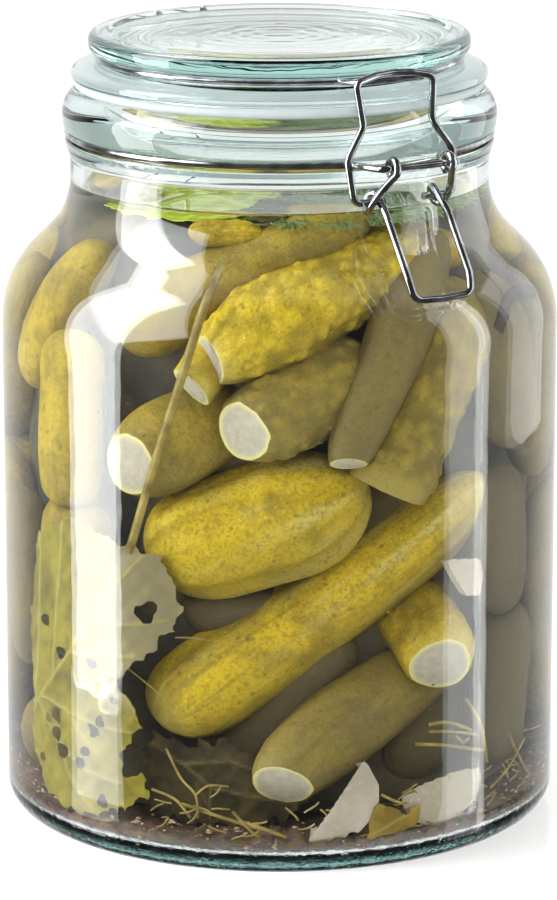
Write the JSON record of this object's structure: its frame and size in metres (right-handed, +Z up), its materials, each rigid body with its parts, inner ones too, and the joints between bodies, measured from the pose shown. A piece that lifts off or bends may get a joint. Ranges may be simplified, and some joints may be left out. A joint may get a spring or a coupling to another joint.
{
  "type": "clip top jar of pickled gherkins",
  "caption": "Large round clear glass storage jar, shut with a glass lid, rubber seal and wire lever clip, packed with whole and cut pickled gherkins in brine.",
  "frame": {"origin": "centre of the flat base, on the jar's axis", "axes": "+Z up the jar's axis, -Y towards the clip, +X to the right when the clip faces the viewer"},
  "size_m": [0.16, 0.1655, 0.2269],
  "materials": {
    "jar_glass": "clear, faintly aqua at thick edges",
    "lid_glass": "clear, teal at the edge",
    "seal_rubber": "satin, slightly translucent grey",
    "clip_wire": "bright drawn wire",
    "gherkins": "wet skin, yellow olive"
  },
  "bodies": {
    "jar": {"jar_body": "jar_glass", "lid_glass": "lid_glass", "seal_ring": "seal_rubber", "neck_wire": "clip_wire", "lid_wire": "clip_wire", "gherkin_heap": "gherkins"},
    "lever": {"lever": "clip_wire"},
    "bail": {"bail": "clip_wire"}
  },
  "joints": [
    {"name": "lever_hinge", "type": "hinge", "parent": "jar", "child": "lever", "pos_m": [0, -0.073, 0.1988], "axis": [-1, 0, 0], "range_deg": [0, 90]},
    {"name": "bail_hinge", "type": "hinge", "parent": "lever", "child": "bail", "pos_m": [0, -0.0646, 0.1884], "axis": [-1, 0, 0], "range_deg": [-117, 0]}
  ],
  "couplings": [
    {"joint": "bail_hinge", "follows": "lever_hinge", "ratio": -1.3}
  ]
}
